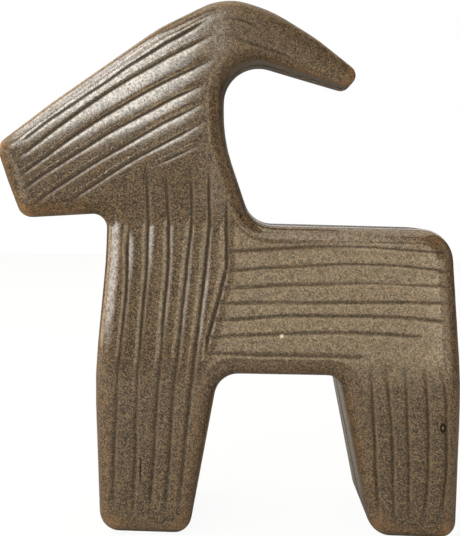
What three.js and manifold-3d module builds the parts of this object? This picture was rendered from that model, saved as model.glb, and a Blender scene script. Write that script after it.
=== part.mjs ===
// Yule goat ornament in glazed stoneware, a flat profile figure that stands on two pairs of legs.
// Two pressed half shells meet at the middle plane, a ring of luting clay joins them, and felt pads carry them.
// Millimetres, +Z up. X runs from the snout (-X) to the rump (+X), and y = 0 is the seam between the halves.
import * as THREE from "three";
import { mergeVertices } from "three/addons/utils/BufferGeometryUtils.js";
import Module from "manifold-3d";

const wasm = await Module();
wasm.setup();

// Heights above the table
const crownHeight = 180;
const backHeight = 103;
const bellyHeight = 52.8;
const soleHeight = 0.7;

// Legs, measured along the goat
const frontSoleLength = 29.5;
const rearSoleLength = 27.9;
const footSpacing = 60.4;
const frontLegLean = 8.8;
const rearLegLean = 11.2;

// Chest and rump swell out between the foot and the body
const chestSwell = 3.3;
const chestSwellHeight = 52;
const chestTopSwell = 0.1;
const chestTopDrop = 16;
const rumpSwell = 2.1;
const rumpSwellHeight = 50;
const rumpSetBack = 1.3;
const rumpDrop = 0.5;

// Neck: its front edge at the chin, its foot on the back, and where it bends behind
const neckFrontSetBack = 0.6;
const neckFootLength = 49.2;
const neckNarrowLength = 38.3;
const neckBendDrop = 46;
const throatTopLength = 38.6;

// Head, measured down from the crown and forward from the front of the neck
const headDepth = 74;
const snoutReach = 38.3;
const snoutTopDrop = 51.5;
const snoutBottomDrop = 76.1;
const snoutRake = 9.7;
const muzzleSwell = 0.8;
const browReach = 21.5;
const browDrop = 37.5;
const foreheadLength = 16;
const foreheadDrop = 9.9;

// Horn, measured from the crown's peak
const crownPeakLength = 38.5;
const crownPeakRise = 1.7;
const hornShoulderReach = 16.5;
const hornShoulderDrop = 2.9;
const hornBendReach = 33;
const hornBendDrop = 12.5;
const hornReach = 47.1;
const hornTipDrop = 23.8;
const hornTipWidth = 6.1;
const hornTipSlant = 3.2;
const hornRootDrop = 16.7;

// Corner radii of the outline, seen from the side
const footRadius = 5.5;
const toeRadius = 7;
const rearToeRadius = 8;
const legArchRadius = 8;
const rearArchRadius = 4.5;
const bendRadius = 150;
const rumpRadius = 11;
const neckFootRadius = 10.5;
const throatBendRadius = 60;
const throatRadius = 12.5;
const hornTipRadius = 3.9;
const hornBendRadius = 60;
const hornShoulderRadius = 45;
const crownRadius = 22;
const foreheadRadius = 50;
const snoutTopRadius = 5;
const muzzleRadius = 40;
const snoutBottomRadius = 5;
const chinRadius = 4.8;

// Thickness across the goat: the two faces lean together towards the crown
const soleHalfWidth = 26;
const crownHalfWidth = 14;
const hornThinning = 7;
const edgeRounding = 5.5;
const legSeamRounding = 2;
const archSeamRounding = 1.2;
const seamWipe = 0.5;

// Clay wall, luting ring and vent
const wall = 6;
const hollowChamfer = 1.5;
const hornSolidLength = 28;
const lutingThickness = 0.7;
const lutingRecess = 0.5;
const jointClearance = 0.3;
const ventDiameter = 5;
const ventAway = 8;

// Felt pads in shallow recesses of the soles
const padDiameter = 12;
const padThickness = 1.2;
const padSideClearance = 0.3;

// How finely round forms are cut into facets, and how much of a side or corner a rounding may take
const arcStep = 0.26;
const padSides = 24;
const ventSides = 16;
const filletRoom = 0.96;
const roundingShare = 0.85;
const hollowRadius = 1.5;

// Carved grooves
const grooveWidth = 3.2;
const grooveDepth = 0.9;
const grooveLift = 1;
const grooveFade = 5;
const grooveStep = 10;
const grooveSkew = 0.5;
const grooveFootMargin = 5;
const grooveEdgeMargin = 5;

// Each head groove bows from a place behind the snout's top and below it, to one ahead of the crown's peak
const headGrooves = [
  { behind: 8.6, snoutDrop: -1, ahead: 3.6, napeDrop: 6.5, bow: 3.2 },
  { behind: 8.8, snoutDrop: 4.4, ahead: 3.5, napeDrop: 13.1, bow: 3.1 },
  { behind: 9, snoutDrop: 10.8, ahead: 3.4, napeDrop: 21.3, bow: 2.9 },
  { behind: 9.2, snoutDrop: 15.9, ahead: 6.4, napeDrop: 30, bow: 2.2 },
  { behind: 14.4, snoutDrop: 19.7, ahead: 6.4, napeDrop: 36.4, bow: 1.6 },
  { behind: 26.1, snoutDrop: 18.8, ahead: 6.4, napeDrop: 42.9, bow: 1.1 },
  { behind: 55.2, snoutDrop: 6.2, ahead: 6.4, napeDrop: 49.7, bow: 0.3 },
];

// Each chest groove: its share of the way back from the front edge at the neck, halfway down and at the foot
const chestGrooves = [
  { neck: 0.155, middle: 0.19, foot: 0.14, rise: -3 },
  { neck: 0.293, middle: 0.344, foot: 0.364, rise: 17 },
  { neck: 0.435, middle: 0.508, foot: 0.539, rise: 16 },
  { neck: 0.587, middle: 0.637, foot: 0.705, rise: 17 },
  { neck: 0.715, middle: 0.773, foot: 0.848, rise: 18 },
];

// The shoulder line that ends the chest grooves: drop below the back, and distance behind the neck's front
const shoulderLine = [
  { drop: -20, behind: 40.4 },
  { drop: 15, behind: 40.8 },
  { drop: 25, behind: 38.8 },
  { drop: 38, behind: 35.2 },
  { drop: 46, behind: 33.8 },
];

// Each body groove: its share of the way from back to belly, at the shoulder, halfway and at the rump
const bodyGrooves = [
  { shoulder: 0.176, middle: 0.135, rump: 0.164, end: 1 },
  { shoulder: 0.309, middle: 0.25, rump: 0.285, end: 1 },
  { shoulder: 0.424, middle: 0.378, rump: 0.386, end: 1 },
  { shoulder: 0.525, middle: 0.507, rump: 0.495, end: 1 },
  { shoulder: 0.64, middle: 0.594, rump: 0.622, end: 1 },
  { shoulder: 0.756, middle: 0.709, rump: 0.737, end: 0.9 },
  { shoulder: 0.855, middle: 0.863, rump: 0.87, end: 0.66 },
];

// Each rear leg groove: its share of the leg's width, at the top of the leg, halfway down and at the foot
const rearLegGrooves = [
  { top: 0.26, middle: 0.193, foot: 0.1 },
  { top: 0.378, middle: 0.349, foot: 0.278 },
  { top: 0.52, middle: 0.502, foot: 0.434 },
  { top: 0.675, middle: 0.684, foot: 0.61 },
  { top: 0.805, middle: 0.858, foot: 0.79 },
];
const rearGrooveRise = 4;

// Outline corners, in order round the goat from the front toe, anticlockwise with the snout on the left
const neckFront = -neckFrontSetBack;
const rearToe = frontSoleLength + footSpacing;
const rearHeel = rearToe + rearSoleLength;
const hornTipX = crownPeakLength - neckFrontSetBack + hornReach;
const snoutTopX = neckFront - snoutReach;
const corner = {
  toe: { x: 0, z: soleHeight, radius: toeRadius, seam: legSeamRounding },
  heel: { x: frontSoleLength, z: soleHeight, radius: footRadius, seam: legSeamRounding },
  frontArch: {
    x: frontSoleLength + frontLegLean,
    z: bellyHeight,
    radius: legArchRadius,
    seam: archSeamRounding,
  },
  rearArch: { x: rearToe - rearLegLean, z: bellyHeight, radius: rearArchRadius, seam: archSeamRounding },
  rearToe: { x: rearToe, z: soleHeight, radius: rearToeRadius, seam: legSeamRounding },
  rearHeel: { x: rearHeel, z: soleHeight, radius: footRadius, seam: legSeamRounding },
  rumpSwell: { x: rearHeel + rumpSwell, z: rumpSwellHeight, radius: bendRadius, seam: archSeamRounding },
  rump: { x: rearHeel - rumpSetBack, z: backHeight - rumpDrop, radius: rumpRadius, seam: seamWipe },
  neckFoot: { x: neckFront + neckFootLength, z: backHeight, radius: neckFootRadius, seam: seamWipe },
  neckBend: {
    x: neckFront + neckNarrowLength,
    z: crownHeight - neckBendDrop,
    radius: throatBendRadius,
    seam: seamWipe,
  },
  throat: {
    x: neckFront + throatTopLength,
    z: crownHeight - hornRootDrop,
    radius: throatRadius,
    seam: seamWipe,
  },
  hornTipUnder: {
    x: hornTipX - hornTipSlant,
    z: crownHeight - hornTipDrop - hornTipWidth * Math.cos(Math.asin(hornTipSlant / hornTipWidth)),
    radius: hornTipRadius,
    seam: seamWipe,
  },
  hornTip: { x: hornTipX, z: crownHeight - hornTipDrop, radius: hornTipRadius, seam: seamWipe },
  hornBend: {
    x: hornTipX - hornReach + hornBendReach,
    z: crownHeight - hornBendDrop,
    radius: hornBendRadius,
    seam: seamWipe,
  },
  hornShoulder: {
    x: hornTipX - hornReach + hornShoulderReach,
    z: crownHeight - hornShoulderDrop,
    radius: hornShoulderRadius,
    seam: seamWipe,
  },
  crown: {
    x: hornTipX - hornReach,
    z: crownHeight + crownPeakRise,
    radius: crownRadius,
    seam: seamWipe,
  },
  forehead: {
    x: neckFront + foreheadLength,
    z: crownHeight - foreheadDrop,
    radius: foreheadRadius,
    seam: seamWipe,
  },
  brow: { x: neckFront - browReach, z: crownHeight - browDrop, radius: bendRadius, seam: seamWipe },
  snoutTop: { x: snoutTopX, z: crownHeight - snoutTopDrop, radius: snoutTopRadius, seam: seamWipe },
  muzzle: {
    x: snoutTopX + snoutRake / 2 - muzzleSwell,
    z: crownHeight - (snoutTopDrop + snoutBottomDrop) / 2,
    radius: muzzleRadius,
    seam: seamWipe,
  },
  snoutBottom: {
    x: snoutTopX + snoutRake,
    z: crownHeight - snoutBottomDrop,
    radius: snoutBottomRadius,
    seam: seamWipe,
  },
  chin: { x: neckFront, z: crownHeight - headDepth, radius: chinRadius, seam: seamWipe },
  chestTop: { x: neckFront - chestTopSwell, z: crownHeight - headDepth - chestTopDrop, radius: bendRadius, seam: seamWipe },
  chestSwell: { x: -chestSwell, z: chestSwellHeight, radius: bendRadius, seam: archSeamRounding },
};

// Half the goat's thickness at a place: less towards the crown, and less again out along the horn
const faceLean = (soleHalfWidth - crownHalfWidth) / crownHeight;
const leanWidthAt = (z) => soleHalfWidth - faceLean * z;
const hornThinStart = corner.crown.x;
const hornFloor = (backHeight + corner.hornTipUnder.z) / 2;

function halfWidthAt(x, z) {
  if (z < hornFloor || x < hornThinStart) return leanWidthAt(z);
  return leanWidthAt(z) - (hornThinning * (x - hornThinStart)) / (hornTipX - hornThinStart);
}

// The part's plan: its corners as vectors, with the side that each turns to
function turnsOf(corners) {
  return corners.map((here, i) => {
    const before = corners.at(i - 1);
    const after = corners[(i + 1) % corners.length];
    const inward = new THREE.Vector2(here.x - before.x, here.z - before.z).normalize();
    const outward = new THREE.Vector2(after.x - here.x, after.z - here.z);
    const length = outward.length();
    outward.normalize();
    const turn = Math.atan2(inward.cross(outward), inward.dot(outward));
    return { ...here, inward, outward, length, turn, tangent: here.radius * Math.tan(Math.abs(turn) / 2) };
  });
}

// Points round a polygon whose corners are filleted; a fillet is cut down where two meet on a short side
function filletedOutline(corners, arcStep) {
  const turns = turnsOf(corners);
  const room = turns.map((here, i) => {
    const after = turns[(i + 1) % turns.length];
    return Math.min(1, (filletRoom * here.length) / (here.tangent + after.tangent));
  });
  const points = [];
  turns.forEach((here, i) => {
    const share = Math.min(room[i], room.at(i - 1));
    const radius = here.radius * share;
    const tangent = here.tangent * share;
    const side = Math.sign(here.turn);
    const steps = Math.max(2, Math.ceil(Math.abs(here.turn) / arcStep));
    const start = new THREE.Vector2(here.x, here.z).addScaledVector(here.inward, -tangent);
    const toCentre = new THREE.Vector2(-here.inward.y, here.inward.x).multiplyScalar(side);
    const centre = start.clone().addScaledVector(toCentre, radius);
    const rounding = side > 0 ? Math.min(edgeRounding, roundingShare * radius) : edgeRounding;
    for (let k = 0; k <= steps; k++) {
      const spoke = toCentre.clone().negate().rotateAround(new THREE.Vector2(), (here.turn * k) / steps);
      const normal = spoke.clone().multiplyScalar(side);
      const place = centre.clone().addScaledVector(spoke, radius);
      points.push({ x: place.x, z: place.y, normal, rounding, seam: here.seam });
    }
  });
  return points;
}

// Corners moved inwards by a wall, each on the crossing of its two moved sides
function insetCorners(corners, inset) {
  return turnsOf(corners).map((here) => {
    const leftOfPath = new THREE.Vector2(-here.inward.y, here.inward.x);
    const slide = inset * Math.tan(here.turn / 2);
    const radius = Math.max(hollowRadius, here.radius - Math.sign(here.turn) * inset);
    return {
      x: here.x + leftOfPath.x * inset - here.inward.x * slide,
      z: here.z + leftOfPath.y * inset - here.inward.y * slide,
      radius,
      seam: here.seam,
    };
  });
}

// One ring of a shell: the outline drawn in by an inset, at a distance from the middle plane
function ringOf(outline, insetOf, awayOf) {
  return outline.map((point) => {
    const inset = insetOf(point);
    const x = point.x - point.normal.x * inset;
    const z = point.z - point.normal.y * inset;
    return new THREE.Vector3(x, -awayOf(point, x, z), z);
  });
}

// A closed solid through rings of equally many points, with a flat cap at each end
function solidThroughRings(rings) {
  const count = rings[0].length;
  const positions = rings.flat().flatMap((p) => [p.x, p.y, p.z]);
  const triangles = [];
  for (let r = 0; r + 1 < rings.length; r++) {
    for (let i = 0; i < count; i++) {
      const a = r * count + i;
      const b = r * count + ((i + 1) % count);
      triangles.push(a, b, b + count, a, b + count, a + count);
    }
  }
  const capOf = (ring) =>
    THREE.ShapeUtils.triangulateShape(
      ring.map((p) => new THREE.Vector2(p.x, p.z)),
      [],
    );
  const last = (rings.length - 1) * count;
  for (const [a, b, c] of capOf(rings[0])) triangles.push(a, c, b);
  for (const [a, b, c] of capOf(rings.at(-1))) triangles.push(last + a, last + b, last + c);
  return manifoldOf(positions, triangles);
}

// A manifold solid from points and triangles, turned the right way out
function manifoldOf(positions, triangles) {
  const meshOf = (triVerts) =>
    new wasm.Mesh({
      numProp: 3,
      vertProperties: new Float32Array(positions),
      triVerts: new Uint32Array(triVerts),
    });
  const solid = new wasm.Manifold(meshOf(triangles));
  if (solid.volume() > 0) return solid;
  return new wasm.Manifold(meshOf([...triangles].reverse()));
}

// A manifold solid from a three.js geometry
function manifoldFromGeometry(geometry) {
  geometry.deleteAttribute("normal");
  geometry.deleteAttribute("uv");
  const merged = mergeVertices(geometry, 1e-4);
  return manifoldOf(Array.from(merged.attributes.position.array), Array.from(merged.index.array));
}

function geometryFromManifold(solid) {
  const mesh = solid.getMesh();
  const geometry = new THREE.BufferGeometry();
  geometry.setAttribute("position", new THREE.BufferAttribute(new Float32Array(mesh.vertProperties), 3));
  geometry.setIndex(new THREE.BufferAttribute(new Uint32Array(mesh.triVerts), 1));
  const faceted = geometry.toNonIndexed();
  faceted.computeVertexNormals();
  return faceted;
}

function uprightCylinder(diameter, bottom, top, x, y, sides) {
  const geometry = new THREE.CylinderGeometry(diameter / 2, diameter / 2, top - bottom, sides);
  geometry.rotateX(Math.PI / 2);
  geometry.translate(x, y, (bottom + top) / 2);
  return geometry;
}

// Place on a broken line through named corners: the value across at a value along
function follow(stops, along, across, value) {
  const rising = stops[0][along] < stops.at(-1)[along] ? stops : [...stops].reverse();
  let i = 0;
  while (i < rising.length - 2 && rising[i + 1][along] < value) i++;
  const [low, high] = [rising[i], rising[i + 1]];
  return THREE.MathUtils.mapLinear(value, low[along], high[along], low[across], high[across]);
}

// Quadratic through three values at 0, 1/2 and 1
const throughThree = (a, b, c, t) => a + t * (-3 * a + 4 * b - c) + t * t * (2 * a - 4 * b + 2 * c);

// The shell's outer skin, from its rim at the seam to its rounded outer face
const seamRim = lutingThickness / 2 + jointClearance;
const seamSteps = [0, 0.5, 1];
const edgeSteps = [0, 0.3, 0.62, 1];
const outline = filletedOutline(Object.values(corner), arcStep);

function outerSkin() {
  const rings = [];
  for (const step of seamSteps) {
    const angle = (step * Math.PI) / 2;
    rings.push(
      ringOf(
        outline,
        (point) => point.seam * (1 - Math.sin(angle)),
        (point) => seamRim + point.seam * (1 - Math.cos(angle)),
      ),
    );
  }
  for (const step of edgeSteps) {
    const angle = (step * Math.PI) / 2;
    rings.push(
      ringOf(
        outline,
        (point) => point.rounding * (1 - Math.cos(angle)),
        (point, x, z) => halfWidthAt(x, z) - edgeRounding * (1 - Math.sin(angle)),
      ),
    );
  }
  return solidThroughRings(rings);
}

// The hollow: the outline less its wall, ending short of the solid horn tip
const hollowNames = [
  "toe", "heel", "frontArch", "rearArch", "rearToe", "rearHeel", "rump", "neckFoot", "neckBend", "throat",
  "hornEndUnder", "hornEnd", "crown", "forehead", "brow", "snoutTop", "snoutBottom", "chin", "chestSwell",
];
const hornEndX = hornTipX - hornSolidLength;
const hornUnderside = [corner.throat, corner.hornTipUnder];
const hornTop = [corner.hornShoulder, corner.hornBend, corner.hornTip];
const hollowCorner = {
  ...corner,
  hornEndUnder: {
    x: hornEndX,
    z: follow(hornUnderside, "x", "z", hornEndX),
    radius: hornTipRadius,
    seam: seamWipe,
  },
  hornEnd: { x: hornEndX, z: follow(hornTop, "x", "z", hornEndX), radius: hornTipRadius, seam: seamWipe },
};
const hollowOutline = filletedOutline(
  insetCorners(
    hollowNames.map((name) => hollowCorner[name]),
    wall,
  ),
  2 * arcStep,
);

function hollow() {
  const inner = (point, x, z) => halfWidthAt(x, z) - wall;
  return solidThroughRings([
    ringOf(hollowOutline, () => 0, () => -seamRim),
    ringOf(hollowOutline, () => 0, (point, x, z) => inner(point, x, z) - hollowChamfer),
    ringOf(hollowOutline, (point) => Math.min(hollowChamfer, 0.5 * point.rounding), inner),
  ]);
}

// A groove cutter: a three-sided blade swept over the leaning outer face, rising out of it at both ends
function grooveCutter(place, length) {
  const steps = Math.max(3, Math.round(length / grooveStep));
  const stops = [0, grooveFade / length];
  for (let k = 1; k < steps; k++) stops.push(k / steps);
  stops.push(1 - grooveFade / length, 1);
  stops.sort((a, b) => a - b);
  const outwards = new THREE.Vector3(0, -1, faceLean).normalize();
  const flank = (grooveWidth / 2) * ((grooveDepth + grooveLift) / grooveDepth);
  const rings = stops.map((t) => {
    const here = place(t);
    const ahead = place(Math.min(1, t + 0.01));
    const behind = place(Math.max(0, t - 0.01));
    const along = new THREE.Vector2(ahead.x - behind.x, ahead.z - behind.z).normalize();
    const aside = new THREE.Vector3(-along.y, faceLean * along.x, along.x);
    const onFace = new THREE.Vector3(here.x, -leanWidthAt(here.z), here.z);
    const sink = t === 0 || t === 1 ? -grooveLift / 2 : grooveDepth;
    const rim = onFace.clone().addScaledVector(outwards, grooveLift);
    return [
      rim.clone().addScaledVector(aside, flank),
      rim.clone().addScaledVector(aside, -flank),
      onFace.addScaledVector(outwards, -sink).addScaledVector(aside, grooveSkew),
    ];
  });
  const positions = rings.flat().flatMap((p) => [p.x, p.y, p.z]);
  const triangles = [0, 1, 2];
  for (let r = 0; r + 1 < rings.length; r++) {
    for (let i = 0; i < 3; i++) {
      const a = 3 * r + i;
      const b = 3 * r + ((i + 1) % 3);
      triangles.push(a, a + 3, b, b, a + 3, b + 3);
    }
  }
  const last = 3 * (rings.length - 1);
  triangles.push(last, last + 2, last + 1);
  return manifoldOf(positions, triangles);
}

// Edges that the grooves follow
const frontEdge = [corner.chin, corner.chestTop, corner.chestSwell, corner.toe];
const frontLegBack = [corner.heel, corner.frontArch];
const legBack = [corner.heel, corner.neckFoot];
const rearLegFront = [corner.rearToe, corner.rearArch];
const rumpEdge = [corner.rearHeel, corner.rumpSwell, corner.rump];
const shoulderStops = [
  ...shoulderLine.map((stop) => ({ z: backHeight - stop.drop, x: neckFront + stop.behind })),
  { z: bellyHeight / 2, x: follow(frontLegBack, "z", "x", bellyHeight / 2) },
  corner.heel,
];
const shoulderX = (z) => follow(shoulderStops, "z", "x", z);

function headGroove({ behind, snoutDrop, ahead, napeDrop, bow }) {
  const start = { x: corner.snoutTop.x + behind, z: corner.snoutTop.z - snoutDrop };
  const end = { x: corner.crown.x - ahead, z: crownHeight - napeDrop };
  return grooveCutter((t) => {
    const rise = bow * 4 * t * (1 - t);
    return {
      x: THREE.MathUtils.lerp(start.x, end.x, t),
      z: THREE.MathUtils.lerp(start.z, end.z, t) + rise,
    };
  }, end.x - start.x);
}

function chestGroove({ neck, middle, foot, rise }) {
  const top = corner.chin.z + rise;
  const bottom = soleHeight + grooveFootMargin;
  return grooveCutter((t) => {
    const z = THREE.MathUtils.lerp(top, bottom, t);
    const share = throughThree(neck, middle, foot, (backHeight - z) / (backHeight - bottom));
    return { x: THREE.MathUtils.lerp(follow(frontEdge, "z", "x", z), follow(legBack, "z", "x", z), share), z };
  }, top - bottom);
}

function shoulderGroove() {
  const top = backHeight - shoulderLine[0].drop / 2;
  const foot = backHeight - shoulderLine.at(-1).drop;
  return grooveCutter((t) => {
    const z = THREE.MathUtils.lerp(top, foot, t);
    return { x: shoulderX(z), z };
  }, top - foot);
}

function bodyGroove({ shoulder, middle, rump, end }) {
  const depth = backHeight - bellyHeight;
  const startX = shoulderX(backHeight - depth * shoulder) + grooveWidth / 2;
  const endX = corner.rump.x - grooveEdgeMargin;
  return grooveCutter((t) => {
    const share = t * end;
    const x = THREE.MathUtils.lerp(startX, endX, share);
    return { x, z: backHeight - depth * throughThree(shoulder, middle, rump, share) };
  }, (endX - startX) * end);
}

function rearLegGroove({ top, middle, foot }) {
  const start = bellyHeight + rearGrooveRise;
  const bottom = soleHeight + grooveFootMargin;
  return grooveCutter((t) => {
    const z = THREE.MathUtils.lerp(start, bottom, t);
    const share = throughThree(top, middle, foot, t);
    const front = follow(rearLegFront, "z", "x", z);
    return { x: THREE.MathUtils.lerp(front, follow(rumpEdge, "z", "x", z), share), z };
  }, start - bottom);
}

// Pad places: the middle of each sole, seen from below
const footMiddles = {
  front: { x: frontSoleLength / 2, z: soleHeight },
  rear: { x: rearToe + rearSoleLength / 2, z: soleHeight },
};
const padAway = (seamRim + legSeamRounding + soleHalfWidth - edgeRounding) / 2;
const recessTop = padThickness + jointClearance;

// The near half, carved and hollowed, before its vent
function halfShell() {
  let shell = outerSkin().subtract(hollow());
  const cutters = [
    ...headGrooves.map(headGroove),
    ...chestGrooves.map(chestGroove),
    shoulderGroove(),
    ...bodyGrooves.map(bodyGroove),
    ...rearLegGrooves.map(rearLegGroove),
  ];
  for (const { x } of Object.values(footMiddles)) {
    const recess = uprightCylinder(padDiameter + 2 * padSideClearance, -1, recessTop, x, -padAway, padSides);
    cutters.push(manifoldFromGeometry(recess));
  }
  for (const cutter of cutters) shell = shell.subtract(cutter);
  return shell;
}

// The luting ring: the rim's shape between the two halves, held back a little from the surface
function lutingRing() {
  const flat = (outlinePoints, insetOf, overshoot) =>
    [-1, 1].map((side) => ringOf(outlinePoints, insetOf, () => side * (lutingThickness / 2 + overshoot)));
  const outside = solidThroughRings(flat(outline, (point) => point.seam + lutingRecess, 0));
  const inside = solidThroughRings(flat(hollowOutline, () => 0, 1));
  return outside.subtract(inside);
}

// Finishes
const stoneware = new THREE.MeshStandardMaterial({ color: 0x7d6c52, roughness: 0.42, metalness: 0 });
const lutingClay = new THREE.MeshStandardMaterial({ color: 0x4a3d2c, roughness: 0.8, metalness: 0 });
const felt = new THREE.MeshStandardMaterial({ color: 0x3a3733, roughness: 1, metalness: 0 });

function namedMesh(name, geometry, material) {
  const mesh = new THREE.Mesh(geometry, material);
  mesh.name = name;
  return mesh;
}

// The goat, with its own box centred on the origin
const goat = new THREE.Group();
const leftHalf = halfShell();
const ventX = (corner.frontArch.x + corner.rearArch.x) / 2;
const vent = manifoldFromGeometry(
  uprightCylinder(ventDiameter, bellyHeight - 1, bellyHeight + wall + 1, ventX, ventAway, ventSides),
);
const rightHalf = leftHalf.mirror([0, 1, 0]).subtract(vent);
goat.add(namedMesh("left_half_shell", geometryFromManifold(leftHalf), stoneware));
goat.add(namedMesh("right_half_shell", geometryFromManifold(rightHalf), stoneware));
goat.add(namedMesh("luting_ring", geometryFromManifold(lutingRing()), lutingClay));
for (const [foot, { x }] of Object.entries(footMiddles)) {
  for (const [side, y] of Object.entries({ left: -padAway, right: padAway })) {
    const pad = uprightCylinder(padDiameter, 0, padThickness, x, y, padSides);
    goat.add(namedMesh(`${foot}_${side}_foot_pad`, pad, felt));
  }
}
const reachOf = outline.map((point) => point.x);
goat.position.x = -(Math.min(...reachOf) + Math.max(...reachOf)) / 2;

export default goat;
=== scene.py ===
import math

import bpy
import numpy as np
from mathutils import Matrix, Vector


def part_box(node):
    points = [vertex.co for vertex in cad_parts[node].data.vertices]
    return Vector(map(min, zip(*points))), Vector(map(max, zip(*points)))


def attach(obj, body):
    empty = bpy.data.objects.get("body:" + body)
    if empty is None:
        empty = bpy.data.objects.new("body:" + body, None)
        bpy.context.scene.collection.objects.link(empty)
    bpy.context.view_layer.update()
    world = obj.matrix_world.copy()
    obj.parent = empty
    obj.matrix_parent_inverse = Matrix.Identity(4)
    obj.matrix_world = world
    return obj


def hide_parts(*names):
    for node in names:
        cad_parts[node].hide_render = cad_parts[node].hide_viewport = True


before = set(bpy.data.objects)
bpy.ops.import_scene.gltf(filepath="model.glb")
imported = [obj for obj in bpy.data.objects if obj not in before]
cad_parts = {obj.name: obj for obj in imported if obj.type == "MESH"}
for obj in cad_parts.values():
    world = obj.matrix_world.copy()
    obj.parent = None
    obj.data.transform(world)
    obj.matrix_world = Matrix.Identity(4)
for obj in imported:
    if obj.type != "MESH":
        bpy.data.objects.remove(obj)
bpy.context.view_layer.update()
mm = 0.001


def pickNothing():
    if bpy.context.object and bpy.context.object.mode != "OBJECT":
        bpy.ops.object.mode_set(mode="OBJECT")
    bpy.ops.object.select_all(action="DESELECT")


def pickOnly(piece):
    pickNothing()
    piece.select_set(True)
    bpy.context.view_layer.objects.active = piece


def applyModifier(piece, kind, **settings):
    pickOnly(piece)
    modifier = piece.modifiers.new(kind.title(), kind)
    for key, value in settings.items():
        setattr(modifier, key, value)
    bpy.ops.object.modifier_apply(modifier=modifier.name)


def placeInMesh(piece):  # the object goes back to the origin and its place into the mesh
    pickOnly(piece)
    bpy.ops.object.transform_apply(location=True, rotation=True, scale=True)


def pointsOf(piece):
    points = np.empty(len(piece.data.vertices) * 3, dtype=np.float32)
    piece.data.vertices.foreach_get("co", points)
    return points.reshape(-1, 3).astype(float)


def movePoints(piece, points):
    piece.data.vertices.foreach_set("co", np.ascontiguousarray(points, dtype=np.float32).ravel())
    piece.data.update()


def normalsOf(piece):
    normals = np.empty(len(piece.data.vertices) * 3, dtype=np.float32)
    piece.data.vertex_normals.foreach_get("vector", normals)
    return normals.reshape(-1, 3).astype(float)


def neighbourMean(piece, values, rounds):  # evens values out over neighbouring points
    edges = np.empty(len(piece.data.edges) * 2, dtype=np.int32)
    piece.data.edges.foreach_get("vertices", edges)
    first, second = edges.reshape(-1, 2).T
    count = len(piece.data.vertices)
    links = np.bincount(first, minlength=count) + np.bincount(second, minlength=count)
    values = values.copy()
    for _ in range(rounds):
        total = np.bincount(first, values[second], count) + np.bincount(second, values[first], count)
        values = 0.5 * values + 0.5 * total / np.maximum(links, 1)
    return values


def paintMask(piece, name, values):  # a value per point, read by the glaze
    mask = piece.data.attributes.new(name, "FLOAT", "POINT")
    mask.data.foreach_set("value", np.clip(values, 0, 1).astype(np.float32))


# Camera: level, 30 cm from the near side, slightly rolled

cameraView = {
    "place": (4.7, -326, 109.6),  # mm
    "lens": 61.6,           # mm, as is the sensor's height
    "sensorHeight": 36,
    "roll": 1.06,           # degrees
    "centreAcross": -13,    # the lens looks past the middle of the picture, in its pixels
    "centreUp": -63,
    "pictureHeight": 536,
    "nearest": 10,          # mm in front of the lens where the picture begins
}


def addCamera():
    bpy.ops.object.camera_add(location=[v * mm for v in cameraView["place"]])
    camera = bpy.context.object
    camera.rotation_euler = (math.radians(90), 0, 0)
    camera.rotation_euler.rotate_axis("Z", math.radians(cameraView["roll"]))
    camera.data.sensor_fit = "VERTICAL"
    camera.data.sensor_height = cameraView["sensorHeight"]
    camera.data.lens = cameraView["lens"]
    camera.data.shift_x = cameraView["centreAcross"] / cameraView["pictureHeight"]
    camera.data.shift_y = cameraView["centreUp"] / cameraView["pictureHeight"]
    camera.data.clip_start = cameraView["nearest"] * mm
    bpy.context.scene.camera = camera


pickNothing()
addCamera()
print("camera stands")


# Outline of the goat, mm from the front toe

goatOutline = {
    "corners": {  # x, z, radius, rounding at the seam
        "frontToe": (0, 0.7, 7, 2),
        "frontHeel": (29.5, 0.7, 5.5, 2),
        "frontArch": (38.3, 52.8, 8, 1.2),
        "rearArch": (78.7, 52.8, 4.5, 1.2),
        "rearToe": (89.9, 0.7, 8, 2),
        "rearHeel": (117.8, 0.7, 5.5, 2),
        "rumpSwell": (119.9, 50, 150, 1.2),
        "rump": (116.5, 102.5, 11, 0.5),
        "neckFoot": (48.6, 103, 10.5, 0.5),
        "neckBend": (37.7, 134, 60, 0.5),
        "throat": (38, 163.3, 12.5, 0.5),
        "hornUnderside": (81.8, 151, 3.9, 0.5),
        "hornTip": (85, 156.2, 3.9, 0.5),
        "hornBend": (70.9, 167.5, 60, 0.5),
        "hornShoulder": (54.4, 177.1, 45, 0.5),
        "crown": (37.9, 181.7, 22, 0.5),
        "forehead": (15.4, 170.1, 50, 0.5),
        "brow": (-22.1, 142.5, 150, 0.5),
        "snoutTop": (-38.9, 128.5, 5, 0.5),
        "muzzle": (-34.8, 116.2, 40, 0.5),
        "snoutUnderside": (-29.2, 103.9, 5, 0.5),
        "chin": (-0.6, 106, 4.8, 0.5),
        "chestTop": (-0.7, 90, 150, 0.5),
        "chestSwell": (-3.3, 52, 150, 1.2),
    },
    "turnStep": 0.1,      # radians between points on a rounded corner
    "room": 0.96,         # share of a side that its two roundings may take
    "straightStep": 1.0,  # between points on a side
}

halfShape = {  # mm
    "soleHalfWidth": 26,
    "crownHalfWidth": 14,
    "crownHeight": 180,
    "hornStart": 37.9,      # the horn thins from here
    "hornEnd": 85,
    "hornEase": 0.12,       # share of the horn over which its thinning sets in
    "hornFloor": 127,       # nothing lower is horn
    "hornThinning": 7,
    "seamAway": 0.4,
    "edgeRounding": 5.5,
    "roundingShare": 0.85,  # of a corner's radius, where that is the smaller
    "arcPoints": 5,
    "voxel": 0.64,
    "smoothing": 3,         # rounds
    "smoothingShare": 0.5,
    "seamTrim": 0.06,       # points this close to the seam plane lie flat on it
    "seamFlat": 0.002,      # faces this close to it become one
    "weld": 0.01,
}

ventHole = {"x": 58.5, "y": 8, "diameter": 5, "z": 49, "top": 61, "sides": 32}  # in the right half's belly


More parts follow.
